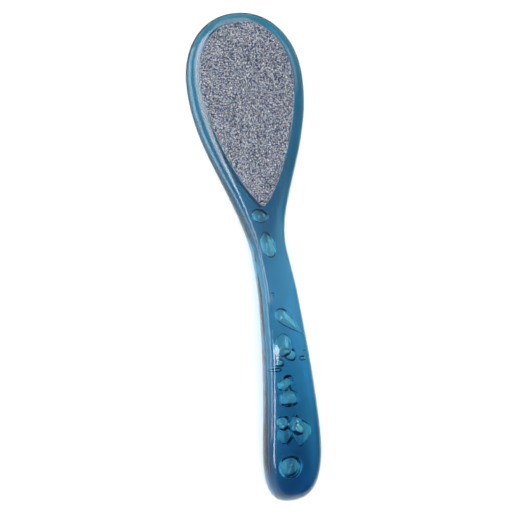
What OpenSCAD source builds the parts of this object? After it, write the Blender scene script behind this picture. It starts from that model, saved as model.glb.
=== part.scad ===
// Foot file: one clear blue moulding, a teardrop paddle on a curved handle, with gas bubbles
// trapped in the handle and a coated abrasive sheet bonded into a shallow pocket on each side.
// It lies on a table with its front sheet up. Y runs from the butt to the head.

/* [Moulding] */
// Length of the moulding from the butt to the head
body_length = 220; // [190:1:250]
// Width of the paddle
paddle_w = 54.6; // [50:0.2:62]
// Distance from the head's end to the widest part of the paddle
head_length = 32; // [28:0.5:38]
// Width of the neck
neck_w = 15.8; // [13:0.2:20]
// Distance from the butt's end to the narrowest part of the neck
neck_y = 112; // [102:0.5:116]
// Width that the handle's sides aim for at the butt, before its end is rounded
butt_w = 31.6; // [27:0.2:38]
// Length of the butt's rounded end
butt_round = 36; // [26:0.5:44]
// Thickness of the moulding at the head
head_t = 5.2; // [4.8:0.1:7]
// Thickness of the moulding at the neck
neck_t = 9; // [8:0.1:11]
// Thickness of the moulding at the butt
butt_t = 13; // [11:0.1:16]

/* [Curve of the handle] */
// Height that the handle steps up behind the paddle
neck_rise = 8; // [0:0.1:10]
// Depth that the handle falls from its crest to the butt
butt_fall = 18; // [10:0.1:22]
// Distance that the paddle's flat faces run on past the sheets' tips
flat_run = 2.3; // [1:0.1:8]

/* [Edges] */
// Width of the rounded rim round the paddle
paddle_edge = 4.4; // [3:0.1:5]
// Width of the rounded edge at the neck
neck_edge = 3; // [2:0.1:4.5]
// Width of the rounded edge at the butt
butt_edge = 5; // [3:0.1:7]
// Height of the crown along the handle's broad faces
handle_crown = 0.5; // [0:0.05:1]

/* [Abrasive sheets] */
// Length of each abrasive sheet
sheet_length = 83.6; // [74:0.2:86]
// Width of each abrasive sheet
sheet_w = 43.6; // [38:0.2:44]
// Distance from the moulding's head end to the sheet's head end
sheet_margin = 4.6; // [4.4:0.1:8]
// Distance from the sheet's head end to its widest part
sheet_head = 29.2; // [22:0.2:32]
// Thickness of the bonding layer under a sheet
adhesive_t = 0.25; // [0.2:0.05:0.4]
// Distance that the bonding layer stays back from the sheet's edge
adhesive_inset = 0.6; // [0.3:0.1:1.5]
// Thickness of a sheet's backing
backing_t = 0.5; // [0.3:0.05:0.7]
// Thickness of the coarse grit coat on the front
coarse_t = 0.6; // [0.4:0.05:0.9]
// Thickness of the fine grit coat on the back
fine_t = 0.4; // [0.3:0.05:0.6]
// Depth of the pocket that each sheet lies in
pocket_depth = 0.9; // [0.6:0.05:1]
// Gap between a sheet and the pocket's wall
pocket_gap = 0.25; // [0.15:0.05:0.5]

/* [Bubbles] */
// Length of the longest bubble in the moulding
bubble_length = 12.4; // [6:0.1:13]

/* [Hidden] */

// Key places along the moulding
paddle_y = body_length - head_length;
sheet_head_y = body_length - sheet_margin;
sheet_wide_y = sheet_head_y - sheet_head;
sheet_tip_y = sheet_head_y - sheet_length;
flat_y = sheet_tip_y - flat_run;

// Exponents that set how full the outlines, the flare, the taper and the rounded edges are
head_power = 2.13;
flare_power = 0.88;
taper_power = 1.36;
butt_power = 2.6;
edge_power = 2.2;
sheet_head_power = 2.22;
sheet_tip_power = 1.5;
sheet_side_power = 1.28;

// The handle's step up ends, and its fall begins, at these shares of the way from paddle to butt
step_end_share = 0.32;
fall_start_share = 0.42;

// Numbers of stations along a side, of steps round an edge, of strips across a face, and of
// steps along each stretch of a sheet's outline
side_steps = 56;
edge_steps = 4;
strips = 4;
outline_steps = 32;

// Every cut runs past the skin by this much
overrun = 1;

function clamp(v) = min(1, max(0, v));
function ease(v) = let(u = clamp(v)) u * u * (3 - 2 * u);
function mix(a, b, v) = a + (b - a) * v;
function arch(v, power) = pow(1 - pow(clamp(v), power), 1 / power);

// 0 at the neck and on the paddle, rising to 1 at the butt
function handle_share(y) = pow(clamp(1 - y / neck_y), taper_power);
// 0 at the neck and on the handle, rising to 1 at the paddle's widest part
function flare_share(y) =
    (1 - cos(180 * pow(clamp((y - neck_y) / (paddle_y - neck_y)), flare_power))) / 2;

function half_width(y) =
    y > paddle_y ? paddle_w / 2 * arch((y - paddle_y) / head_length, head_power)
    : y > neck_y ? mix(neck_w, paddle_w, flare_share(y)) / 2
    : mix(neck_w, butt_w, handle_share(y)) / 2 * arch(1 - y / butt_round, butt_power);

// The paddle is a straight wedge, and the handle swells from it towards the butt
wedge_slope = (neck_t - head_t) / 2 / (body_length - neck_y);
butt_swell = (butt_t - head_t) / 2 - wedge_slope * body_length;
function half_thickness(y) =
    head_t / 2 + wedge_slope * (body_length - y) + butt_swell * handle_share(y);

// Height of the mid-surface over the paddle's mid-plane
function curve(y) =
    let(v = 1 - y / flat_y, fall = clamp((v - fall_start_share) / (1 - fall_start_share)))
        neck_rise * ease(v / step_end_share) - butt_fall * fall * fall;

function edge_width(y) =
    mix(neck_edge, y > neck_y ? paddle_edge : butt_edge, y > neck_y ? flare_share(y) : handle_share(y));

// Stations along a side crowd towards both ends, where the outline turns
function station(i) = let(y = body_length * (1 - cos(180 * i / side_steps)) / 2) [half_width(y), y];
function inward(i) =
    i == 0 ? [0, 1]
    : i == side_steps ? [0, -1]
    : let(d = station(i + 1) - station(i - 1)) [-d[1], d[0]] / norm(d);

// A point of the skin: level runs from -1, the lower face, through 0, the outline, to 1, the upper face
function skin_point(i, level, side) =
    let(
        inset = edge_width(station(i)[1]) * (1 - pow(cos(90 * level), 2 / edge_power)),
        p = station(i) + inset * inward(i),
        rise = half_thickness(p[1]) * pow(sin(90 * abs(level)), 2 / edge_power)
    )
    [side * p[0], p[1], curve(p[1]) + sign(level) * rise];

// A loop round the moulding at one level, up its right side and down its left
loop_size = 2 * side_steps;
function loop(level) = [
    for (j = [0 : loop_size - 1])
        j > side_steps ? skin_point(loop_size - j, level, -1) : skin_point(j, level, 1)
];

// The points between the two edges of a broad face, which is crowned along the handle
function crown(p) =
    handle_crown * ease((flat_y - p[1]) / (flat_y - neck_y)) * ease(2 * p[0] / neck_w);
function face_row(i, way) = let(p = skin_point(i, way, 1)) [
    for (c = [1 : strips - 1])
        let(s = 1 - 2 * c / strips) [p[0] * s, p[1], p[2] + way * crown(p) * (1 - s * s)]
];

skin_points = [
    for (k = [-edge_steps : edge_steps]) each loop(k / edge_steps),
    for (way = [1, -1], i = [1 : side_steps - 1]) each face_row(i, way)
];

// Where the loops and the rows of the broad faces start in that list
top_loop = 2 * edge_steps;
upper_rows = (top_loop + 1) * loop_size;
lower_rows = upper_rows + (side_steps - 1) * (strips - 1);

// Indices across a broad face at one station, from its right edge to its left
function on_loop(k, j) = k * loop_size + j % loop_size;
function across(i, rows, k) = [
    on_loop(k, i),
    for (c = [0 : strips - 2]) rows + (i - 1) * (strips - 1) + c,
    on_loop(k, loop_size - i)
];
function face_skin(rows, k) = [
    for (c = [0 : strips - 1])
        let(a = across(1, rows, k)) [on_loop(k, 0), a[c], a[c + 1]],
    for (i = [1 : side_steps - 2], c = [0 : strips - 1])
        let(a = across(i, rows, k), b = across(i + 1, rows, k))
            each [[a[c], b[c], b[c + 1]], [a[c], b[c + 1], a[c + 1]]],
    for (c = [0 : strips - 1])
        let(a = across(side_steps - 1, rows, k)) [on_loop(k, side_steps), a[c + 1], a[c]]
];
function turned(faces) = [for (f = faces) [f[0], f[2], f[1]]];
skin_faces = [
    for (k = [0 : top_loop - 1], j = [0 : loop_size - 1])
        each [
            [on_loop(k, j), on_loop(k + 1, j), on_loop(k + 1, j + 1)],
            [on_loop(k, j), on_loop(k + 1, j + 1), on_loop(k, j + 1)]
        ],
    each turned(face_skin(upper_rows, top_loop)),
    each face_skin(lower_rows, 0)
];

// Laid on a table, the moulding rests on the back sheet's head end and on the butt
back_proud = adhesive_t + backing_t + fine_t - pocket_depth;
head_foot = [0, sheet_head_y, -half_thickness(sheet_head_y) - back_proud];
rest_angle = max([
    for (p = skin_points)
        if (p[1] < neck_y) atan((head_foot[2] - p[2]) / (head_foot[1] - p[1]))
]);
function laid(p) = [
    p[0],
    p[1] * cos(rest_angle) + p[2] * sin(rest_angle),
    p[2] * cos(rest_angle) - p[1] * sin(rest_angle)
];
laid_y = [for (p = skin_points) laid(p)[1]];

// Half of a sheet's outline, from its tip to its head end
function sheet_half_width(y) = sheet_w / 2 * (
    y > sheet_wide_y ? arch((y - sheet_wide_y) / sheet_head, sheet_head_power)
    : pow(1 - pow(clamp((sheet_wide_y - y) / (sheet_wide_y - sheet_tip_y)), sheet_tip_power), 1 / sheet_side_power)
);
sheet_half = [
    for (i = [0 : 2 * outline_steps])
        let(y = sheet_tip_y + sheet_length * (1 - cos(90 * i / outline_steps)) / 2) [sheet_half_width(y), y]
];
sheet_outline = [
    each sheet_half,
    for (i = [2 * outline_steps - 1 : -1 : 1]) [-sheet_half[i][0], sheet_half[i][1]]
];

// A flat layer with a sheet's outline, grown by a margin
module layer(thickness, margin) {
    linear_extrude(thickness)
        offset(delta = margin)
            polygon(sheet_outline);
}

// Sets the upper (1) or the lower (-1) face of the paddle as the plane that its children stand on
module on_face(way) {
    translate([0, paddle_y, way * half_thickness(paddle_y)])
        rotate([-way * atan(wedge_slope), 0, 0])
            mirror([0, 0, way < 0 ? 1 : 0])
                translate([0, -paddle_y, -pocket_depth])
                    children();
}

// Lays everything on the table, with the middle of its length at the origin
module on_table() {
    translate([0, -(min(laid_y) + max(laid_y)) / 2, -laid(head_foot)[2]])
        rotate([-rest_angle, 0, 0])
            children();
}

// Each bubble as shares: its place along the moulding, across its half width and up its half
// thickness, then its length and width against the longest bubble, and its height against the
// thickness there. Last is its turn in degrees, seen from above
bubble_shares = [
    [0.580, -0.15, 0.10, 0.50, 0.65, 0.40, -31],
    [0.518, -0.05, 0.05, 1.00, 0.53, 0.46, 9],
    [0.373, -0.04, 0.15, 0.66, 0.48, 0.42, 19],
    [0.344, 0.54, 0.25, 0.12, 0.65, 0.14, -38],
    [0.315, -0.17, 0.36, 0.85, 0.64, 0.30, -12],
    [0.295, 0.19, -0.35, 0.48, 0.45, 0.32, 30],
    [0.285, 0.62, 0.10, 0.18, 0.25, 0.20, 0],
    [0.281, -0.38, 0.30, 0.31, 0.36, 0.30, 0],
    [0.239, -0.17, 0.12, 0.51, 0.63, 0.44, 34],
    [0.209, -0.07, 0.00, 0.64, 0.72, 0.50, 0],
    [0.162, -0.38, 0.42, 0.56, 0.49, 0.36, 0],
    [0.154, 0.12, 0.40, 0.79, 0.48, 0.38, 14],
    [0.139, -0.33, -0.42, 0.73, 0.61, 0.34, 10],
    [0.139, 0.33, -0.42, 0.92, 0.69, 0.34, -10],
    [0.073, -0.12, 0.05, 0.89, 0.89, 0.62, 0]
];

module bubbles() {
    for (b = bubble_shares)
        let(y = b[0] * body_length, size = [b[4] * bubble_length, b[3] * bubble_length])
            translate([b[1] * half_width(y), y, curve(y) + b[2] * half_thickness(y)])
                rotate([0, 0, b[6]])
                    scale([size[0] / 2, size[1] / 2, b[5] * half_thickness(y)])
                        sphere(r = 1, $fn = 32);
}

module handle_body() {
    color([0.10, 0.42, 0.62])
        difference() {
            polyhedron(skin_points, skin_faces);
            for (way = [1, -1])
                on_face(way)
                    layer(pocket_depth + overrun, pocket_gap);
            bubbles();
        }
}

module adhesive(way) {
    color([0.80, 0.80, 0.72])
        on_face(way)
            layer(adhesive_t, -adhesive_inset);
}

module backing(way) {
    color([0.55, 0.50, 0.45])
        on_face(way)
            translate([0, 0, adhesive_t])
                layer(backing_t, 0);
}

module grit(way, thickness) {
    color([0.62, 0.60, 0.62])
        on_face(way)
            translate([0, 0, adhesive_t + backing_t])
                layer(thickness, 0);
}

on_table() handle_body();
on_table() adhesive(1);  // front_adhesive
on_table() backing(1);  // front_backing
on_table() grit(1, coarse_t);  // front_grit
on_table() adhesive(-1);  // back_adhesive
on_table() backing(-1);  // back_backing
on_table() grit(-1, fine_t);  // back_grit
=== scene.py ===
"""A foot file: a clear blue moulding with gas bubbles, and an abrasive sheet on each face of its paddle."""

import math
import random

import bmesh
import bpy
from bpy.props import FloatProperty, FloatVectorProperty, IntProperty, PointerProperty
from mathutils import Matrix, Vector, noise
from mathutils.bvhtree import BVHTree
from mathutils.interpolate import poly_3d_calc


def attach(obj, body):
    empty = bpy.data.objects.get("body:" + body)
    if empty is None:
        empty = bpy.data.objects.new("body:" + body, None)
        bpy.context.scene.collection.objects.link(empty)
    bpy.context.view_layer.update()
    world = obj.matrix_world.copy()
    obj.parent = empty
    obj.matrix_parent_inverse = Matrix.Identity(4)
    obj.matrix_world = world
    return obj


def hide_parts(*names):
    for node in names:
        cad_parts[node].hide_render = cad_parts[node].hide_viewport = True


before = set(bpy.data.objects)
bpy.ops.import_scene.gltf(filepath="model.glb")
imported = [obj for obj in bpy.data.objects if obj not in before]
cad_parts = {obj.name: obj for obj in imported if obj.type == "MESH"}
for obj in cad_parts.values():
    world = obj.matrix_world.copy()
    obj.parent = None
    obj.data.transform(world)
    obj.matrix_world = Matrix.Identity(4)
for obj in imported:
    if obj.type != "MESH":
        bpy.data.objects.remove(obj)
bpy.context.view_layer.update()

bl_info = {
    "name": "Foot file",
    "version": (1, 0, 0),
    "blender": (4, 5, 0),
    "location": "View3D > Sidebar > Foot file",
    "description": "Models a clear blue foot file with trapped bubbles and two abrasive sheets",
    "category": "Add Mesh",
}

# Exponents that set how full the outlines, the flare, the taper and the rounded edges are
HEAD_POWER = 2.13
FLARE_POWER = 0.88
TAPER_POWER = 1.36
BUTT_POWER = 2.6
EDGE_POWER = 2.2
SHEET_HEAD_POWER = 2.22
SHEET_TIP_POWER = 1.5
SHEET_SIDE_POWER = 1.28

# Where the underside's narrower edges begin, and over what length they come in
UNDER_START = 0.02
UNDER_REACH = 0.03

# Shares of the way from paddle to butt where the handle's step ends and its fall begins
STEP_END_SHARE = 0.32
FALL_START_SHARE = 0.42

# Steps, as shares of the moulding's and of a sheet's outline, over which its direction is measured
OUTLINE_STEP = 1 / 500
SHEET_STEP = 1 / 2000

# How finely the underside is sampled to find how the moulding lies: stations along it, how many of
# them cover the butt's end, and levels from the outline to the face
REST_STATIONS = 400
BUTT_STATIONS = 60
REST_LEVELS = 16

# Points round a sheet's outline
SHEET_SEGMENTS = 256

# The pocket's rounded mouth: its facets, the angle that they turn through, and how far the plug that
# cuts it stands over the face
MOUTH_STEPS = 5
MOUTH_ANGLE = math.radians(75)
MOUTH_OVERRUN = 0.0003

# The bed of grains: how far a grain strays and how far the bed outreaches the sheet, both in
# spacings, and an exponent that above 1 leaves more grains high than low
GRAIN_STRAY = 0.36
GRAIN_MARGIN = 3
GRAIN_POWER = 1.3

# Each bubble takes its lumps from a place of its own in one field of noise: how fast that place
# moves along and across the moulding, and how closely the lumps follow each other
LUMP_ALONG = 90
LUMP_ACROSS = 30
LUMP_SCALE = 1.3

# Edges of the moulding that turn further than this stay crisp
SHARP_ANGLE = math.radians(32)

# A face of the cut moulding takes the skin's normals where it lies this near to the skin, in metres,
# and where the cosine of the angle between them is above this
SKIN_CONTACT = 4e-6
SKIN_LIKENESS = 0.985

# Each bubble as shares: its place along the moulding, across its half width and up its half
# thickness, its length and width against the bubble length, its height against the thickness
# there, its turn in degrees, then how far it is egg-shaped and how far it is uneven
BUBBLE_SHARES = [
    (0.580, -0.15, 0.10, 0.50, 0.65, 0.34, -31, 0.10, 0.05),
    (0.518, -0.05, 0.05, 1.00, 0.53, 0.38, 9, -0.10, 0.04),
    (0.359, 0.28, 0.15, 1.28, 0.42, 0.24, 42, 0.80, 0.03),
    (0.315, -0.17, 0.36, 0.85, 0.64, 0.27, -12, -0.25, 0.10),
    (0.295, 0.19, -0.35, 0.48, 0.45, 0.30, 30, 0.10, 0.10),
    (0.285, 0.62, 0.10, 0.18, 0.25, 0.19, 0, 0.00, 0.04),
    (0.281, -0.38, 0.30, 0.31, 0.36, 0.28, 0, 0.00, 0.06),
    (0.239, -0.17, 0.12, 0.51, 0.63, 0.37, 34, 0.10, 0.20),
    (0.209, -0.07, 0.00, 0.64, 0.72, 0.42, 0, -0.12, 0.18),
    (0.162, -0.38, 0.42, 0.56, 0.49, 0.31, 0, 0.05, 0.14),
    (0.154, 0.12, 0.40, 0.79, 0.48, 0.32, 14, -0.20, 0.18),
    (0.139, -0.24, -0.42, 0.73, 0.56, 0.30, 10, 0.10, 0.16),
    (0.139, 0.33, -0.42, 0.92, 0.69, 0.30, -10, 0.15, 0.16),
    (0.073, -0.12, 0.05, 0.89, 0.89, 0.54, 0, 0.00, 0.02),
]

# The smallest bubbles, too small for the solids: place along, across and up, then length and width
SPECK_SHARES = [
    (0.420, -0.36, 0.20, 0.06, 0.12),
    (0.415, -0.36, 0.20, 0.05, 0.11),
    (0.349, 0.40, 0.30, 0.04, 0.07),
    (0.268, -0.42, -0.30, 0.16, 0.32),
    (0.300, 0.74, 0.10, 0.04, 0.08),
]

# How far the floor reaches from its middle
FLOOR_REACH = 1.5

# The flat lights over the paddle that only the plastic mirrors: their left and right edges, their
# edges towards the butt and the head, then their radiance
PANELS = [
    (-0.110, 0.012, 0.030, 0.300, 4.0),
    (-0.070, 0.012, 0.040, 0.300, 4.5),
    (0.016, 0.180, 0.268, 0.420, 3.6),
    (0.250, 0.350, 0.150, 0.270, 3.0),
    (0.020, 0.250, -0.060, 0.262, 0.25),
    (0.020, 0.250, 0.000, 0.262, 0.25),
    (0.020, 0.250, 0.060, 0.262, 0.25),
]

# Each panel is a stack of lamps that grow smaller upwards, so that its mirror image fades at the
# edges: the lowest lamp's height, how many there are, the width of the fade, and the gap from one
# lamp to the next, because of two in one plane only one would be mirrored
PANEL_HEIGHT = 0.3
PANEL_STEPS = 4
PANEL_FADE = 0.02
PANEL_LAYER = 0.0005

# The picture's width at the point that it is centred on, and how far that point is from the origin:
# sideways, along the file and towards the camera
PICTURE_WIDTH = 0.2279
PICTURE_CENTRE = (-0.00239, 0.0006, 0.011)


def size(name, description, default):
    """A length in metres that a user would change."""
    return FloatProperty(
        name=name, description=description, default=default, unit="LENGTH", precision=5
    )


def swatch(name, description, default):
    """A colour that a user would change."""
    return FloatVectorProperty(
        name=name, description=description, default=default, subtype="COLOR", min=0.0, max=1.0
    )


class MouldingSizes(bpy.types.PropertyGroup):
    """Sizes of the clear moulding."""

    body_length: size("Length", "From the butt to the head", 0.220)
    paddle_w: size("Paddle width", "Width of the paddle", 0.0546)
    head_length: size("Head length", "From the head's end to the widest part", 0.032)
    neck_w: size("Neck width", "Width of the neck", 0.0158)
    neck_y: size("Neck place", "From the butt's end to the narrowest part of the neck", 0.112)
    butt_w: size("Butt width", "Width that the sides aim for at the butt", 0.0316)
    butt_round: size("Butt rounding", "Length of the butt's rounded end", 0.036)
    head_t: size("Head thickness", "Thickness at the head", 0.0052)
    neck_t: size("Neck thickness", "Thickness at the neck", 0.009)
    butt_t: size("Butt thickness", "Thickness at the butt", 0.013)
    neck_rise: size("Rise", "Height that the handle steps up behind the paddle", 0.008)
    butt_fall: size("Fall", "Depth that the handle falls to the butt", 0.018)
    flat_run: size("Flat run", "How far the flat faces run past the sheets' tips", 0.0023)
    paddle_edge: size("Paddle rim", "Width of the rounded rim round the paddle", 0.0078)
    neck_edge: size("Neck edge", "Width of the rounded edge at the neck", 0.003)
    butt_edge: size("Butt edge", "Width of the rounded edge at the butt", 0.005)
    under_share: FloatProperty(
        name="Underside edges", description="Width of the lower edges against the upper ones",
        default=0.45, subtype="FACTOR",
    )
    handle_crown: size("Crown", "Height of the crown along the broad faces", 0.0005)
    bubble_length: size("Bubble length", "Length that the bubbles' sizes are shares of", 0.0124)


class SheetSizes(bpy.types.PropertyGroup):
    """Sizes of the abrasive sheets and of their pockets."""

    sheet_length: size("Length", "Length of each abrasive sheet", 0.0836)
    sheet_w: size("Width", "Width of each abrasive sheet", 0.0436)
    sheet_margin: size("Margin", "From the moulding's head end to the sheet's", 0.0046)
    sheet_head: size("Head", "From the sheet's head end to its widest part", 0.0292)
    adhesive_t: size("Bond", "Thickness of the bonding layer", 0.00025)
    backing_t: size("Backing", "Thickness of a sheet's backing", 0.0005)
    coarse_t: size("Coarse coat", "Thickness of the coarse coat", 0.0006)
    fine_t: size("Fine coat", "Thickness of the fine coat", 0.0004)
    pocket_depth: size("Pocket depth", "Depth of each sheet's pocket", 0.0009)
    pocket_gap: size("Pocket gap", "Gap between a sheet and its pocket's wall", 0.00025)
    mouth_round: size("Mouth rounding", "Radius of the pocket's mouth", 0.0002)
    coarse_grain: size("Coarse grain", "Spacing of the coarse grains", 0.0003)
    coarse_relief: size("Coarse relief", "Depth between the coarse grains", 0.00026)
    fine_grain: size("Fine grain", "Spacing of the fine grains", 0.00042)
    fine_relief: size("Fine relief", "Depth between the fine grains", 0.0001)


class Finishes(bpy.types.PropertyGroup):
    """Colours of the materials, how the plastic takes light, and the seed of the random draws."""

    clear_surface: swatch("Surface", "Colour of the clear plastic's surface", (0.98, 1.0, 0.95))
    clear_tint: swatch("Tint", "Colour that the clear plastic lets through", (0.235, 0.665, 0.805))
    clear_density: FloatProperty(
        name="Tint density", description="How fast the tint deepens, per metre", default=400.0
    )
    refraction: FloatProperty(
        name="Refraction", description="Index of refraction of the plastic", default=1.5
    )
    coarse_black: swatch("Coarse black", "Darkest flecks of the coarse coat", (0.006, 0.01, 0.05))
    coarse_navy: swatch("Coarse navy", "Deep blue flecks of the coarse coat", (0.04, 0.06, 0.20))
    coarse_blue: swatch("Coarse blue", "Grey-blue flecks of the coarse coat", (0.28, 0.34, 0.57))
    coarse_tan: swatch("Coarse tan", "Tan flecks of the coarse coat", (0.74, 0.64, 0.53))
    coarse_pale: swatch("Coarse pale", "Pale blue flecks of the coarse coat", (0.88, 0.95, 1.0))
    # The coarse coat's white flecks are painted glints: pure white colour that stands in for light the
    # grains mirror
    coarse_glint_white: swatch("Coarse white", "White flecks of the coarse coat", (1.0, 1.0, 1.0))
    fine_black: swatch("Fine black", "Darkest flecks of the fine coat", (0.10, 0.10, 0.12))
    fine_dark: swatch("Fine dark", "Dark grey flecks of the fine coat", (0.22, 0.21, 0.22))
    fine_grey: swatch("Fine grey", "Grey flecks of the fine coat", (0.32, 0.30, 0.31))
    fine_pale: swatch("Fine pale", "Pale flecks of the fine coat", (0.55, 0.54, 0.54))
    backing_dark: swatch("Backing dark", "Darker flecks of the backing", (0.42, 0.43, 0.45))
    backing_light: swatch("Backing light", "Lighter flecks of the backing", (0.50, 0.50, 0.52))
    bond_dark: swatch("Bond dark", "Darker patches of the bonding layer", (0.55, 0.53, 0.45))
    bond_light: swatch("Bond light", "Lighter patches of the bonding layer", (0.66, 0.65, 0.58))
    seed: IntProperty(name="Seed", description="Seed of every random draw", default=7, min=0)


class CameraView(bpy.types.PropertyGroup):
    """Where the camera stands, and its lens."""

    lens: FloatProperty(
        name="Lens", description="Focal length of the camera", default=150.0, unit="CAMERA"
    )
    roll: FloatProperty(
        name="Side view", description="How far left of the normal the camera stands",
        default=math.radians(18), subtype="ANGLE",
    )
    lean: FloatProperty(
        name="Lean", description="How far the head leans left in the picture",
        default=math.radians(6.4), subtype="ANGLE",
    )


def moulding_sizes():
    return bpy.context.scene.foot_file_moulding


def sheet_sizes():
    return bpy.context.scene.foot_file_sheets


def finishes():
    return bpy.context.scene.foot_file_finishes


def camera_view():
    return bpy.context.scene.foot_file_camera


def clamp(share):
    return min(1.0, max(0.0, share))


def ease(share):
    """Runs from 0 to 1 with a level start and end."""
    held = clamp(share)
    return held * held * (3 - 2 * held)


def mix(start, end, share):
    return start + (end - start) * share


def arch(share, power):
    """Falls from 1 to 0 like a quarter of an ellipse, and fuller where power is above 2."""
    return (1 - clamp(share) ** power) ** (1 / power)


class Form:
    """The moulding's surface, in its own frame: the paddle's mid-plane is flat at height zero."""

    def __init__(self):
        body = moulding_sizes()
        sheet = sheet_sizes()
        self.body = body
        self.sheet = sheet
        self.paddle_y = body.body_length - body.head_length
        self.sheet_head_y = body.body_length - sheet.sheet_margin
        self.sheet_wide_y = self.sheet_head_y - sheet.sheet_head
        self.sheet_tip_y = self.sheet_head_y - sheet.sheet_length
        self.flat_y = self.sheet_tip_y - body.flat_run
        self.wedge = (body.neck_t - body.head_t) / 2 / (body.body_length - body.neck_y)
        self.swell = (body.butt_t - body.head_t) / 2 - self.wedge * body.body_length
        # It is laid as the solids lie, whose lower edges are as wide as the upper ones
        self.under_share = 1.0
        self.laid = self.resting()
        self.under_share = body.under_share

    def handle_share(self, y):
        """How far the handle has grown from the neck's size, at 0, to the butt's, at 1."""
        return clamp(1 - y / self.body.neck_y) ** TAPER_POWER

    def flare_share(self, y):
        """How far the flare has grown from the neck's size, at 0, to the paddle's, at 1."""
        way = clamp((y - self.body.neck_y) / (self.paddle_y - self.body.neck_y))
        return (1 - math.cos(math.pi * way**FLARE_POWER)) / 2

    def half_width(self, y):
        body = self.body
        if y > self.paddle_y:
            return body.paddle_w / 2 * arch((y - self.paddle_y) / body.head_length, HEAD_POWER)
        if y > body.neck_y:
            return mix(body.neck_w, body.paddle_w, self.flare_share(y)) / 2
        width = mix(body.neck_w, body.butt_w, self.handle_share(y))
        return width / 2 * arch(1 - y / body.butt_round, BUTT_POWER)

    def half_thickness(self, y):
        body = self.body
        return body.head_t / 2 + self.wedge * (body.body_length - y) + self.swell * self.handle_share(y)

    def curve(self, y):
        """Height of the mid-surface, which steps up behind the paddle and falls to the butt."""
        way = 1 - y / self.flat_y
        fall = clamp((way - FALL_START_SHARE) / (1 - FALL_START_SHARE))
        return self.body.neck_rise * ease(way / STEP_END_SHARE) - self.body.butt_fall * fall * fall

    def edge_width(self, y):
        body = self.body
        if y > body.neck_y:
            return mix(body.neck_edge, body.paddle_edge, self.flare_share(y))
        return mix(body.neck_edge, body.butt_edge, self.handle_share(y))

    def outline(self, along):
        """A point of the outline's right side, along running from 0 at the butt to 1 at the head."""
        y = self.body.body_length * (1 - math.cos(math.pi * along)) / 2
        return Vector((self.half_width(y), y))

    def inward(self, along):
        """The direction that is square to the outline and points into the moulding."""
        if along <= 0 or along >= 1:
            return Vector((0.0, 1.0 if along <= 0 else -1.0))
        step = min(OUTLINE_STEP, along, 1 - along)
        run = self.outline(along + step) - self.outline(along - step)
        return Vector((-run.y, run.x)).normalized()

    def skin(self, along, level, side):
        """A point of the skin: level runs from -1, the lower face, through 0, the outline, to 1."""
        angle = math.pi / 2 * abs(level)
        outline = self.outline(along)
        inset = self.edge_width(outline.y) * (1 - max(0.0, math.cos(angle)) ** (2 / EDGE_POWER))
        if level < 0:
            inset *= mix(1, self.under_share, ease((outline.y - UNDER_START) / UNDER_REACH))
        point = outline + inset * self.inward(along)
        rise = self.half_thickness(point.y) * math.sin(angle) ** (2 / EDGE_POWER)
        return Vector((side * point.x, point.y, self.curve(point.y) + math.copysign(rise, level)))

    def face(self, along, across, way):
        """A point of a broad face: across runs from 1 at the right edge to -1 at the left."""
        edge = self.skin(along, way, 1)
        run_in = (self.flat_y - edge.y) / (self.flat_y - self.body.neck_y)
        crown = self.body.handle_crown * ease(run_in)
        crown *= ease(2 * edge.x / self.body.neck_w)
        return Vector((edge.x * across, edge.y, edge.z + way * crown * (1 - across * across)))

    def sheet_half_width(self, y):
        sheet = self.sheet
        if y > self.sheet_wide_y:
            return sheet.sheet_w / 2 * arch((y - self.sheet_wide_y) / sheet.sheet_head, SHEET_HEAD_POWER)
        way = clamp((self.sheet_wide_y - y) / (self.sheet_wide_y - self.sheet_tip_y))
        return sheet.sheet_w / 2 * (1 - way**SHEET_TIP_POWER) ** (1 / SHEET_SIDE_POWER)

    def sheet_outline(self, turn, grow=0.0):
        """A point of a sheet's outline, turn running from 0 at the tip up the right side to 1."""
        def at(place):
            place %= 1.0
            y = self.sheet_tip_y + self.sheet.sheet_length * (1 - math.cos(2 * math.pi * place)) / 2
            return Vector((math.copysign(self.sheet_half_width(y), 0.5 - place), y))
        run = at(turn + SHEET_STEP) - at(turn - SHEET_STEP)
        return at(turn) + grow * Vector((run.y, -run.x)).normalized()

    def on_face(self, way):
        """The frame of the paddle's front (1) or back (-1) face, with its pocket's floor at zero."""
        y = self.paddle_y
        return (
            self.laid
            @ Matrix.Translation((0, y, way * self.half_thickness(y)))
            @ Matrix.Rotation(-way * math.atan(self.wedge), 4, "X")
            @ Matrix.Diagonal((1, 1, way, 1))
            @ Matrix.Translation((0, -y, -self.sheet.pocket_depth))
        )

    def resting(self):
        """Lays the moulding on the back sheet's head end and on its own butt, centred lengthwise."""
        sheet = self.sheet
        proud = sheet.adhesive_t + sheet.backing_t + sheet.fine_t - sheet.pocket_depth
        foot = Vector((0, self.sheet_head_y, -self.half_thickness(self.sheet_head_y) - proud))
        underside = [
            self.skin(station / REST_STATIONS, -level / REST_LEVELS, 1)
            for station in range(BUTT_STATIONS)
            for level in range(REST_LEVELS + 1)
        ]
        angle = max(math.atan((foot.z - point.z) / (foot.y - point.y)) for point in underside)
        turn = Matrix.Rotation(-angle, 4, "X")
        ends = [
            (turn @ self.skin(along, level / REST_LEVELS, 1)).y
            for along in (0, 1)
            for level in range(-REST_LEVELS, REST_LEVELS + 1)
        ]
        return Matrix.Translation((0, -(min(ends) + max(ends)) / 2, -(turn @ foot).z)) @ turn


def new_mesh(name, bm):
    """An object at the origin, made from bm."""
    mesh = bpy.data.meshes.new(name)
    bm.to_mesh(mesh)
    bm.free()
    piece = bpy.data.objects.new(name, mesh)
    bpy.context.scene.collection.objects.link(piece)
    return piece


def dress(piece, material):
    """Gives a piece, or a solid that stays in view, its finish."""
    piece.data.materials.clear()
    piece.data.materials.append(material)


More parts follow.
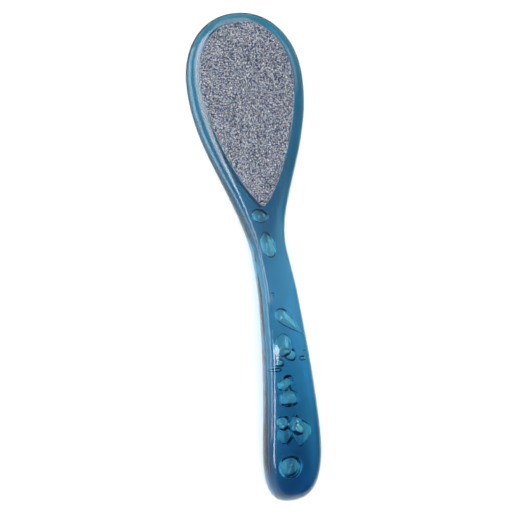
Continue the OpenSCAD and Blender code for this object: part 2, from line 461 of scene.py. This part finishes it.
def grid(bm, columns, rows, place):
    """Adds a grid of columns by rows faces, its points set by place(u, v) with both from 0 to 1."""
    for vert in bmesh.ops.create_grid(bm, x_segments=columns, y_segments=rows, size=0.5)["verts"]:
        vert.co = place(vert.co.x + 0.5, vert.co.y + 0.5)


def level_off(geometry, height):
    """Brings the points of what was just extruded to one height."""
    for vert in (part for part in geometry if isinstance(part, bmesh.types.BMVert)):
        vert.co.z = height


def weld(bm, distance=1e-7):
    bmesh.ops.remove_doubles(bm, verts=bm.verts, dist=distance)
    bmesh.ops.dissolve_degenerate(bm, edges=bm.edges, dist=distance)
    bmesh.ops.recalc_face_normals(bm, faces=bm.faces)


def put_on_face(bm, form, way):
    """Moves a shape to the paddle's front or back, and turns the back's mirrored faces out again."""
    bm.transform(form.on_face(way))
    if way < 0:
        bmesh.ops.reverse_faces(bm, faces=bm.faces)


def smooth(bm, sharp_angle):
    """Smooth faces, with the edges past sharp_angle kept crisp."""
    for face in bm.faces:
        face.smooth = True
    for edge in bm.edges:
        edge.smooth = edge.calc_face_angle(0.0) < sharp_angle


def skin_mesh(form, stations=180, edge_steps=14, face_steps=16):
    """The moulding's outer skin, one ring of points at each station along it."""
    ring = [("edge", k / edge_steps, 1) for k in range(-edge_steps, edge_steps + 1)]
    ring += [("face", 1 - 2 * k / face_steps, 1) for k in range(1, face_steps)]
    ring += [("edge", k / edge_steps, -1) for k in range(edge_steps, -edge_steps - 1, -1)]
    ring += [("face", 2 * k / face_steps - 1, -1) for k in range(1, face_steps)]
    ring.append(ring[0])

    def place(u, v):
        kind, share, side = ring[round(u * (len(ring) - 1))]
        if kind == "edge":
            return form.skin(v, share, side)
        return form.face(v, share, side)

    bm = bmesh.new()
    grid(bm, len(ring) - 1, stations, place)
    weld(bm)
    bm.transform(form.laid)
    bm.normal_update()
    return bm


def pocket_cutter(form, way):
    """A plug with a sheet's outline, whose mouth flares with a small radius."""
    sheet = form.sheet
    radius = sheet.mouth_round
    # Each row of points has a height, and a distance out from the gap or None at the centre
    profile = [(0.0, None), (0.0, 0.0)]
    for k in range(MOUTH_STEPS + 1):
        angle = MOUTH_ANGLE * k / MOUTH_STEPS
        height = sheet.pocket_depth - radius + radius * math.sin(angle)
        profile.append((height, radius * (1 - math.cos(angle))))
    height, grow = profile[-1]
    rest = sheet.pocket_depth + MOUTH_OVERRUN - height
    profile.append((height + rest, grow + rest * math.tan(MOUTH_ANGLE)))
    profile.append((height + rest, None))
    centre = Vector((0, form.sheet_wide_y))

    def place(u, v):
        height, grow = profile[round(v * (len(profile) - 1))]
        point = centre if grow is None else form.sheet_outline(u, sheet.pocket_gap + grow)
        return Vector((point.x, point.y, height))

    bm = bmesh.new()
    grid(bm, SHEET_SEGMENTS, len(profile) - 1, place)
    weld(bm)
    put_on_face(bm, form, way)
    return bm


def sheet_prism(form, way, low, high):
    """A straight prism with a sheet's outline, between two heights over the pocket's floor."""
    bm = bmesh.new()
    rim = bmesh.ops.create_circle(bm, cap_ends=True, segments=SHEET_SEGMENTS, radius=1.0)["verts"]
    for vert in rim:
        turn = math.atan2(vert.co.y, vert.co.x) / (2 * math.pi)
        point = form.sheet_outline(turn)
        vert.co = Vector((point.x, point.y, low))
    level_off(bmesh.ops.extrude_face_region(bm, geom=bm.faces[:])["geom"], high)
    bmesh.ops.recalc_face_normals(bm, faces=bm.faces)
    put_on_face(bm, form, way)
    return bm


def grain_bed(form, way, thickness, spacing, relief):
    """A slab whose outer face is a bed of angular grains, wider than the sheet that it is cut to."""
    sheet = form.sheet
    draw = random.Random(finishes().seed + way)
    low = sheet.adhesive_t + sheet.backing_t
    margin = GRAIN_MARGIN * spacing
    wide = sheet.sheet_w + 2 * margin
    long = sheet.sheet_length + 2 * margin
    columns = round(wide / spacing)
    rows = round(long / spacing)

    def place(u, v):
        stagger = round(v * rows) % 2 / 2
        x = u * wide - wide / 2 + (stagger + draw.uniform(-GRAIN_STRAY, GRAIN_STRAY)) * spacing
        y = form.sheet_tip_y - margin + v * long + draw.uniform(-GRAIN_STRAY, GRAIN_STRAY) * spacing
        return Vector((x, y, low + thickness - relief * draw.random() ** GRAIN_POWER))

    bm = bmesh.new()
    grid(bm, columns, rows, place)
    bmesh.ops.triangulate(bm, faces=bm.faces)
    border = [edge for edge in bm.edges if edge.is_boundary]
    level_off(bmesh.ops.extrude_edge_only(bm, edges=border)["geom"], low)
    bmesh.ops.holes_fill(bm, edges=bm.edges)
    bmesh.ops.recalc_face_normals(bm, faces=bm.faces)
    put_on_face(bm, form, way)
    return bm


def cut(piece, cutters, operation="DIFFERENCE"):
    """Takes the cutters out of the piece, or keeps what is inside them, and clears them away."""
    for cutter in cutters:
        modifier = piece.modifiers.new("Cut", "BOOLEAN")
        modifier.operation = operation
        modifier.solver = "EXACT"
        modifier.object = cutter
    bpy.context.view_layer.update()
    depsgraph = bpy.context.evaluated_depsgraph_get()
    mesh = bpy.data.meshes.new_from_object(piece.evaluated_get(depsgraph))
    piece.modifiers.clear()
    uncut = piece.data
    piece.data = mesh
    bpy.data.meshes.remove(uncut)
    mesh.name = piece.name
    for cutter in cutters:
        bpy.data.meshes.remove(cutter.data)


def polish(mesh, skin):
    """Gives the faces that lie on the skin its own normals, so that the cuts leave no ripples."""
    tree = BVHTree.FromBMesh(skin)
    skin.faces.ensure_lookup_table()

    def look_up(point):
        place, _, index, gap = tree.find_nearest(point)
        if gap > SKIN_CONTACT:
            return None
        corners = skin.faces[index].verts
        shares = poly_3d_calc([vert.co for vert in corners], place)
        blend = sum((vert.normal * share for vert, share in zip(corners, shares)), Vector())
        return blend.normalized()

    found = [look_up(vert.co) for vert in mesh.vertices]
    normals = [corner.vector.copy() for corner in mesh.corner_normals]
    for face in mesh.polygons:
        if all(found[v] and found[v].dot(face.normal) > SKIN_LIKENESS for v in face.vertices):
            for loop, v in zip(face.loop_indices, face.vertices):
                normals[loop] = found[v]
    mesh.normals_split_custom_set(normals)


def add_bubble(bm, form, along, across, up, length, width, half_height, turn=0.0, egg=0.0, uneven=0.0):
    """Adds one gas bubble, a closed void whose faces look into the gas."""
    body = form.body
    y = along * body.body_length
    seed = Vector((along * LUMP_ALONG, across * LUMP_ACROSS, finishes().seed))
    scale = Vector((width * body.bubble_length / 2, length * body.bubble_length / 2, half_height))
    made = bmesh.ops.create_icosphere(bm, subdivisions=4, radius=1.0)["verts"]
    for vert in made:
        ball = vert.co.copy()
        lump = 1 + uneven * noise.noise(ball * LUMP_SCALE + seed)
        narrow = 1 + egg * ball.y
        vert.co = Vector((ball.x * scale.x * narrow, ball.y * scale.y, ball.z * scale.z * narrow)) * lump
    place = Matrix.Translation(
        (across * form.half_width(y), y, form.curve(y) + up * form.half_thickness(y))
    ) @ Matrix.Rotation(math.radians(turn), 4, "Z")
    bmesh.ops.transform(bm, matrix=form.laid @ place, verts=made)
    bmesh.ops.reverse_faces(bm, faces=list({face for vert in made for face in vert.link_faces}))


def nodes_of(name):
    """A new material, with its node tree, shader and output."""
    material = bpy.data.materials.new(name)
    material.use_nodes = True
    tree = material.node_tree
    return material, tree, tree.nodes["Principled BSDF"], tree.nodes["Material Output"]


def map_range(tree, value, start, end):
    """Adds a node that turns the span start of value into the span end."""
    node = tree.nodes.new("ShaderNodeMapRange")
    for label, number in zip(("From Min", "From Max", "To Min", "To Max"), (*start, *end)):
        node.inputs[label].default_value = number
    tree.links.new(value, node.inputs["Value"])
    return node


def soft_noise(tree, place, scale, detail):
    """Adds a noise texture, and gives its strength."""
    node = tree.nodes.new("ShaderNodeTexNoise")
    node.inputs["Scale"].default_value = scale
    node.inputs["Detail"].default_value = detail
    tree.links.new(place, node.inputs["Vector"])
    return node.outputs["Fac"]


def clear_plastic():
    """Clear plastic whose tint deepens with its depth, and whose surface has faint long waves."""
    waves_per_metre = (160, 14, 160)
    wave_depth = 0.00002
    finish = finishes()
    material, tree, shader, output = nodes_of("clear_blue_plastic")
    add, link = tree.nodes.new, tree.links.new
    shader.inputs["Base Color"].default_value = (*finish.clear_surface, 1)
    shader.inputs["Transmission Weight"].default_value = 1.0
    shader.inputs["IOR"].default_value = finish.refraction
    tint = add("ShaderNodeVolumeAbsorption")
    tint.inputs["Color"].default_value = (*finish.clear_tint, 1)
    tint.inputs["Density"].default_value = finish.clear_density
    link(tint.outputs[0], output.inputs["Volume"])
    stretch = add("ShaderNodeMapping")
    stretch.inputs["Scale"].default_value = waves_per_metre
    link(add("ShaderNodeTexCoord").outputs["Object"], stretch.inputs["Vector"])
    wave = soft_noise(tree, stretch.outputs["Vector"], scale=1.0, detail=2)
    ripple = add("ShaderNodeBump")
    ripple.inputs["Distance"].default_value = wave_depth
    link(wave, ripple.inputs["Height"])
    link(ripple.outputs["Normal"], shader.inputs["Normal"])
    wear = map_range(tree, wave, start=(0.35, 0.7), end=(0.005, 0.03))
    link(wear.outputs["Result"], shader.inputs["Roughness"])
    return material


def mineral(name, cell, stops, rough):
    """Angular flecks about cell metres wide, with faint clouds of light and dark over them.

    Each of stops is the share of flecks that come before it, then its colour. The flecks' roughness
    runs from the first to the second number of rough.
    """
    cells_per_cloud = 4
    material, tree, shader, _ = nodes_of(name)
    add, link = tree.nodes.new, tree.links.new
    place = add("ShaderNodeTexCoord").outputs["Object"]
    cells = add("ShaderNodeTexVoronoi")
    cells.inputs["Scale"].default_value = 1 / cell
    link(place, cells.inputs["Vector"])
    split = add("ShaderNodeSeparateColor")
    link(cells.outputs["Color"], split.inputs["Color"])
    ramp = add("ShaderNodeValToRGB")
    ramp.color_ramp.interpolation = "CONSTANT"
    made = ramp.color_ramp.elements
    for k, (share, colour) in enumerate(stops):
        stop = made[k] if k < len(made) else made.new(share)
        stop.position = share
        stop.color = (*colour, 1)
    link(split.outputs["Red"], ramp.inputs["Fac"])
    cloud = soft_noise(tree, place, scale=1 / (cells_per_cloud * cell), detail=6)
    level = map_range(tree, cloud, start=(0.35, 0.65), end=(0.90, 1.1))
    shade = add("ShaderNodeMix")
    shade.data_type = "RGBA"
    shade.blend_type = "MULTIPLY"
    shade.inputs["Factor"].default_value = 1
    link(ramp.outputs["Color"], shade.inputs["A"])
    link(level.outputs["Result"], shade.inputs["B"])
    link(shade.outputs["Result"], shader.inputs["Base Color"])
    gloss = map_range(tree, split.outputs["Green"], start=(0, 1), end=rough)
    link(gloss.outputs["Result"], shader.inputs["Roughness"])
    return material


def coarse_grit():
    finish = finishes()
    stops = (
        (0.0, finish.coarse_black),
        (0.38, finish.coarse_navy),
        (0.54, finish.coarse_blue),
        (0.65, finish.coarse_tan),
        (0.74, finish.coarse_pale),
        # Painted glints: the last share of the flecks is pure white
        (0.85, finish.coarse_glint_white),
    )
    return mineral("coarse_grit", cell=0.00025, stops=stops, rough=(0.25, 0.7))


def fine_grit():
    finish = finishes()
    stops = (
        (0.0, finish.fine_black),
        (0.25, finish.fine_dark),
        (0.60, finish.fine_grey),
        (0.92, finish.fine_pale),
    )
    return mineral("fine_grit", cell=0.0004, stops=stops, rough=(0.25, 0.7))


def sheet_backing():
    finish = finishes()
    stops = ((0.0, finish.backing_dark), (0.5, finish.backing_light))
    return mineral("sheet_backing", cell=0.0008, stops=stops, rough=(0.6, 0.8))


def bonding_layer():
    finish = finishes()
    stops = ((0.0, finish.bond_dark), (0.7, finish.bond_light))
    return mineral("bonding_layer", cell=0.003, stops=stops, rough=(0.35, 0.5))


def floor_white():
    """Matt white with a faint blue glow that lifts the shadows on it."""
    material, _, shader, _ = nodes_of("floor_white")
    shader.inputs["Base Color"].default_value = (0.9, 0.9, 0.9, 1)
    shader.inputs["Roughness"].default_value = 0.9
    shader.inputs["Emission Color"].default_value = (0.35, 0.70, 1.0, 1)
    shader.inputs["Emission Strength"].default_value = 0.09
    return material


class FOOTFILE_OT_moulding(bpy.types.Operator):
    """Makes the clear moulding with its two pockets and the bubbles trapped in it"""

    bl_idname = "footfile.moulding"
    bl_label = "Moulding"

    def execute(self, context):
        form = Form()
        bm = skin_mesh(form)
        skin = bm.copy()
        body = new_mesh("moulding", bm)
        cut(body, [new_mesh("pocket_plug", pocket_cutter(form, way)) for way in (1, -1)])
        bm = bmesh.new()
        bm.from_mesh(body.data)
        weld(bm)
        for row in BUBBLE_SHARES:
            along, across, up, length, width, height = row[:6]
            half_height = height * form.half_thickness(along * form.body.body_length)
            add_bubble(bm, form, along, across, up, length, width, half_height, *row[6:])
        for along, across, up, length, width in SPECK_SHARES:
            half_height = length * form.body.bubble_length / 2
            add_bubble(bm, form, along, across, up, length, width, half_height)
        smooth(bm, SHARP_ANGLE)
        bm.to_mesh(body.data)
        bm.free()
        dress(body, clear_plastic())
        polish(body.data, skin)
        skin.free()
        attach(body, "root")
        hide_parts("handle_body")
        return {"FINISHED"}


class FOOTFILE_OT_grit(bpy.types.Operator):
    """Makes the coarse and the fine coat as beds of angular grains"""

    bl_idname = "footfile.grit"
    bl_label = "Grit coats"

    def execute(self, context):
        form = Form()
        sheet = form.sheet
        low = sheet.adhesive_t + sheet.backing_t
        coarse = (sheet.coarse_t, sheet.coarse_grain, sheet.coarse_relief)
        fine = (sheet.fine_t, sheet.fine_grain, sheet.fine_relief)
        for name, way, (thickness, spacing, relief), finish, slot in (
            ("front_grains", 1, coarse, coarse_grit, "coarse_grit"),
            ("back_grains", -1, fine, fine_grit, "fine_grit"),
        ):
            coat = new_mesh(name, grain_bed(form, way, thickness, spacing, relief))
            prism = sheet_prism(form, way, low - spacing, low + 2 * thickness)
            cut(coat, [new_mesh("coat_prism", prism)], "INTERSECT")
            dress(coat, finish())
            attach(coat, "root")
            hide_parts("front_grit" if way > 0 else "back_grit")
        return {"FINISHED"}


class FOOTFILE_OT_layers(bpy.types.Operator):
    """Finishes the backings and the bonding layers under the coats"""

    bl_idname = "footfile.layers"
    bl_label = "Backings and bonding layers"

    def execute(self, context):
        backing = sheet_backing()
        bond = bonding_layer()
        for side in ("front", "back"):
            dress(bpy.data.objects[side + "_backing"], backing)
            dress(bpy.data.objects[side + "_adhesive"], bond)
        return {"FINISHED"}


def studio():
    """A room that is dim overhead and on the right, and pale low on the left."""
    dim_way = (0.6, 0.0, 1.0)
    world = bpy.data.worlds.new("studio")
    world.use_nodes = True
    tree = world.node_tree
    add, link = tree.nodes.new, tree.links.new
    slope = add("ShaderNodeVectorMath")
    slope.operation = "DOT_PRODUCT"
    slope.inputs[1].default_value = dim_way
    link(add("ShaderNodeTexCoord").outputs["Generated"], slope.inputs[0])
    horizon = map_range(tree, slope.outputs["Value"], start=(0.45, 0.0), end=(0.12, 1.1))
    horizon.interpolation_type = "SMOOTHSTEP"
    room = tree.nodes["Background"]
    room.inputs["Color"].default_value = (0.76, 0.90, 1.0, 1)
    link(horizon.outputs["Result"], room.inputs["Strength"])
    return world


def soft_light(name, place, width, height, radiance, lit=None, colour=(1, 1, 1), aim=(0, 0, 0)):
    """A flat light that faces the point aim, and lights all pieces or only the one lit."""
    light = bpy.data.lights.new(name, "AREA")
    light.shape = "RECTANGLE"
    light.color = colour
    light.size = width
    light.size_y = height
    light.energy = radiance * math.pi * width * height
    lamp = bpy.data.objects.new(name, light)
    lamp.location = place
    lamp.rotation_mode = "QUATERNION"
    lamp.rotation_quaternion = (Vector(aim) - Vector(place)).to_track_quat("-Z", "Y")
    bpy.context.scene.collection.objects.link(lamp)
    if lit:
        receivers = bpy.data.collections.new(name + "_receivers")
        receivers.objects.link(lit)
        lamp.light_linking.receiver_collection = receivers
    return lamp


def hang_panel(row, panel, plastic):
    """Hangs a panel that the plastic mirrors, and that doesn't shine through it."""
    left, right, butt_side, head_side, radiance = panel
    x = (left + right) / 2
    y = (butt_side + head_side) / 2
    for step in range(PANEL_STEPS):
        trim = PANEL_FADE * (step / (PANEL_STEPS - 1) - 0.5)
        height = PANEL_HEIGHT + PANEL_LAYER * (row * PANEL_STEPS + step)
        lamp = soft_light(
            "panel_%d_%d" % (row, step), (x, y, height), width=right - left - 2 * trim,
            height=head_side - butt_side - 2 * trim, radiance=radiance / PANEL_STEPS, lit=plastic,
            aim=(x, y, 0.0),
        )
        lamp.visible_transmission = False


def hang_lights(floor, plastic):
    """One light for everything, one for the floor alone, and the rest for the plastic alone."""
    soft_light("side_light", (-0.554, 0.118, 0.411), width=1.00, height=0.35, radiance=4.5)
    soft_light(
        "floor_light", (0.0, 0.0, 1.2), width=1.4, height=1.4, radiance=3.5, lit=floor,
        colour=(1.0, 1.0, 0.9),
    )
    soft_light("strip_light", (-0.29, -0.47, 1.2), width=0.34, height=1.4, radiance=11.0, lit=plastic)
    # The right light shines through the plastic, and isn't mirrored in it
    right_light = soft_light(
        "right_light", (1.0, 0.0, 0.6), width=1.7, height=0.5, radiance=4.2, lit=plastic,
        colour=(0.7, 1.0, 0.6),
    )
    right_light.visible_glossy = False
    for row, panel in enumerate(PANELS):
        hang_panel(row, panel, plastic)


def lay_floor():
    bm = bmesh.new()
    bmesh.ops.create_grid(bm, x_segments=1, y_segments=1, size=FLOOR_REACH)
    floor = new_mesh("floor", bm)
    floor.data.materials.append(floor_white())
    return floor


def set_camera(scene):
    """The camera looks down the paddle's normal from the left, and leans with the file."""
    view = camera_view()
    side = Vector((math.cos(view.roll), 0, math.sin(view.roll)))
    back = Vector((-math.sin(view.roll), 0, math.cos(view.roll)))
    along = Vector((0, 1, 0))
    right = math.cos(view.lean) * side - math.sin(view.lean) * along
    up = math.sin(view.lean) * side + math.cos(view.lean) * along
    centre = PICTURE_CENTRE[0] * side + PICTURE_CENTRE[1] * along + PICTURE_CENTRE[2] * back
    data = bpy.data.cameras.new("camera")
    data.lens = view.lens
    data.clip_start = 0.01
    camera = bpy.data.objects.new("camera", data)
    scene.collection.objects.link(camera)
    distance = PICTURE_WIDTH / data.sensor_width * data.lens
    turn = Matrix((right, up, back)).transposed().to_4x4()
    camera.matrix_world = Matrix.Translation(centre + back * distance) @ turn
    scene.camera = camera


class FOOTFILE_OT_stage(bpy.types.Operator):
    """Sets the floor, the lights and the camera"""

    bl_idname = "footfile.stage"
    bl_label = "Stage"

    def execute(self, context):
        scene = context.scene
        floor = lay_floor()
        scene.view_settings.view_transform = "Standard"
        scene.world = studio()
        hang_lights(floor, bpy.data.objects["moulding"])
        set_camera(scene)
        return {"FINISHED"}


class FOOTFILE_PT_panel(bpy.types.Panel):
    """Lists the sizes, finishes and pieces of the foot file"""

    bl_label = "Foot file"
    bl_idname = "FOOTFILE_PT_panel"
    bl_space_type = "VIEW_3D"
    bl_region_type = "UI"
    bl_category = "Foot file"

    def draw(self, context):
        for group in (moulding_sizes(), sheet_sizes(), finishes(), camera_view()):
            box = self.layout.box()
            for name in type(group).__annotations__:
                box.prop(group, name)
        for operator in OPERATORS:
            self.layout.operator(operator.bl_idname)


OPERATORS = (FOOTFILE_OT_moulding, FOOTFILE_OT_grit, FOOTFILE_OT_layers, FOOTFILE_OT_stage)
CLASSES = (MouldingSizes, SheetSizes, Finishes, CameraView, *OPERATORS, FOOTFILE_PT_panel)


def register():
    for cls in CLASSES:
        bpy.utils.register_class(cls)
    bpy.types.Scene.foot_file_moulding = PointerProperty(type=MouldingSizes)
    bpy.types.Scene.foot_file_sheets = PointerProperty(type=SheetSizes)
    bpy.types.Scene.foot_file_finishes = PointerProperty(type=Finishes)
    bpy.types.Scene.foot_file_camera = PointerProperty(type=CameraView)


def unregister():
    del bpy.types.Scene.foot_file_camera
    del bpy.types.Scene.foot_file_finishes
    del bpy.types.Scene.foot_file_sheets
    del bpy.types.Scene.foot_file_moulding
    for cls in reversed(CLASSES):
        bpy.utils.unregister_class(cls)


def main():
    register()
    bpy.ops.footfile.moulding()
    bpy.ops.footfile.grit()
    bpy.ops.footfile.layers()
    bpy.ops.footfile.stage()


if __name__ == "__main__":
    main()
